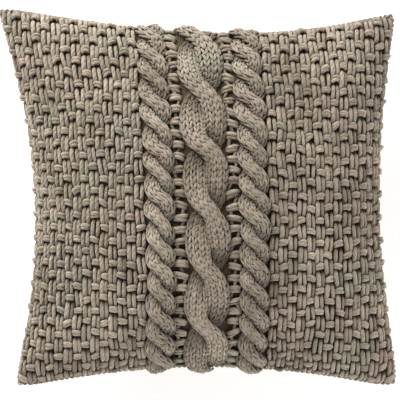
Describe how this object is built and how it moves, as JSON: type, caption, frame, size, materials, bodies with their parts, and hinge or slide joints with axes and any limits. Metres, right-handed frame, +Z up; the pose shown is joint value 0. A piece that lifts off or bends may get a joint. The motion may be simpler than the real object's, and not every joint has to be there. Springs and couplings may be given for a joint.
{
  "type": "throw pillow",
  "caption": "Square cable-knit throw pillow with moss-stitch sides, a woven back, a zip hidden in the lower seam and a filled insert.",
  "frame": {"origin": "middle of the outline's bounding box, on the surface that the pillow lies on", "axes": "+Z up out of the knitted front face, +X to the right along the zip, +Y away from the zip, along the cables"},
  "size_m": [0.4572, 0.4356, 0.147],
  "materials": {
    "knit_yarn": "soft chunky knit",
    "seam_yarn": "plied yarn",
    "back_cloth": "plain weave",
    "lining_cloth": "fine plain weave",
    "zip_tape": "herringbone tape",
    "zip_coil": "nylon coil",
    "zip_metal": "satin enamel",
    "insert_cloth": "downproof cotton",
    "insert_wadding": "polyester fibre",
    "label_cloth": "satin ribbon"
  },
  "bodies": {
    "pillow": {"front_panel": "knit_yarn", "front_lining": "lining_cloth", "back_panel": "back_cloth", "edge_seam": "seam_yarn", "zipper_tape_front": "zip_tape", "zipper_tape_back": "zip_tape", "zipper_teeth_front": "zip_coil", "zipper_teeth_back": "zip_coil", "zipper_top_stops": "zip_metal", "zipper_bottom_stop": "zip_metal", "insert_cover_front": "insert_cloth", "insert_cover_back": "insert_cloth", "insert_seam": "insert_cloth", "insert_fill": "insert_wadding", "care_label": "label_cloth"},
    "slider": {"zipper_slider": "zip_metal"},
    "pull": {"zipper_pull": "zip_metal"}
  },
  "joints": [
    {"name": "slider_travel", "type": "hinge", "parent": "pillow", "child": "slider", "pos_m": [0.009, -1.1245, 0.062], "axis": [0, 0, 1], "range_deg": [0, 18.98]},
    {"name": "pull_swing", "type": "hinge", "parent": "slider", "child": "pull", "pos_m": [0.16266, -0.2051, 0.062], "axis": [0, 0, 1], "range_deg": [0, 180]}
  ]
}
